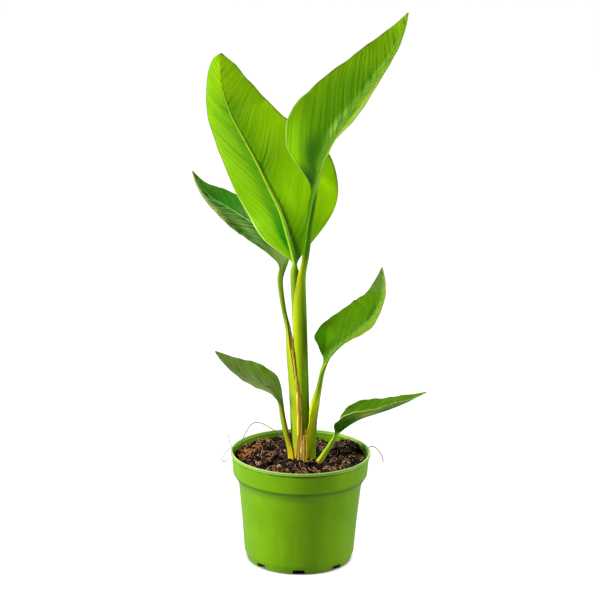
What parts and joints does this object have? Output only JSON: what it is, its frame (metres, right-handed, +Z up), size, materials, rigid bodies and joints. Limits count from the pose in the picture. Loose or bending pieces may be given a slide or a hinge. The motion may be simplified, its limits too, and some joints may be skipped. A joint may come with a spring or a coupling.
{
  "type": "potted bird of paradise",
  "caption": "Young bird of paradise with upright paddle-shaped leaves on clasping stalks, growing in peat in a round stepped nursery pot.",
  "frame": {"origin": "middle of the pot's underside, on the surface that the pot stands on", "axes": "+Z up along the pot's axis, -Y towards the side that the picture shows, +X to its right"},
  "size_m": [0.2361, 0.14, 0.5582],
  "materials": {
    "pot_plastic": "injection-moulded polypropylene, lime green, semi-gloss with faint moulding lines",
    "potting_mix": "moist dark peat with pale root fibres, coir and white perlite",
    "rootstock": "matt fleshy roots, tan",
    "leaf_bright": "fresh leathery leaf, bright yellow-green, satin, let through by light, fine parallel side veins and a paler midrib",
    "leaf_dark": "older leathery leaf, mid to dark green with a grey bloom, satin, brown dry margin, paler midrib"
  },
  "bodies": {
    "root": {"pot": "pot_plastic", "potting_mix": "potting_mix", "rootstock": "rootstock", "leaf_tall_left": "leaf_bright", "leaf_tall_right": "leaf_bright", "leaf_back_left": "leaf_dark", "leaf_low_left": "leaf_dark", "leaf_low_right": "leaf_bright", "leaf_side_shoot": "leaf_dark"}
  },
  "joints": []
}
